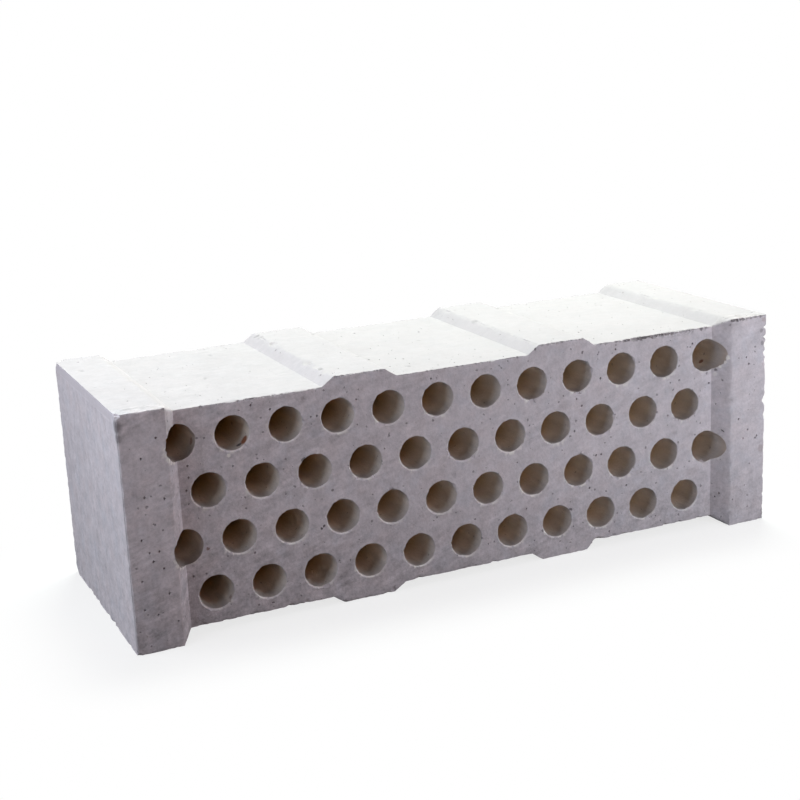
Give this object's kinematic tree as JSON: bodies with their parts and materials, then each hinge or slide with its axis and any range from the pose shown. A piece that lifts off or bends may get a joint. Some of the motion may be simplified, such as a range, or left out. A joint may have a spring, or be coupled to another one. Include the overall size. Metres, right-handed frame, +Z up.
{
  "type": "refractory checker brick",
  "caption": "Long fired refractory brick with staggered rows of round through flues, thicker end blocks with sloped shoulders and shallow cross ribs, for a heat-storing checker stack.",
  "frame": {"origin": "on the floor, at the middle of the footprint", "axes": "+X along the length, +Y along the flues from the front face to the back face, +Z up as the brick stands on its long side"},
  "size_m": [0.46, 0.16, 0.15],
  "materials": {
    "fired_refractory": "matte"
  },
  "bodies": {
    "root": {"checker_brick": "fired_refractory"}
  },
  "joints": []
}
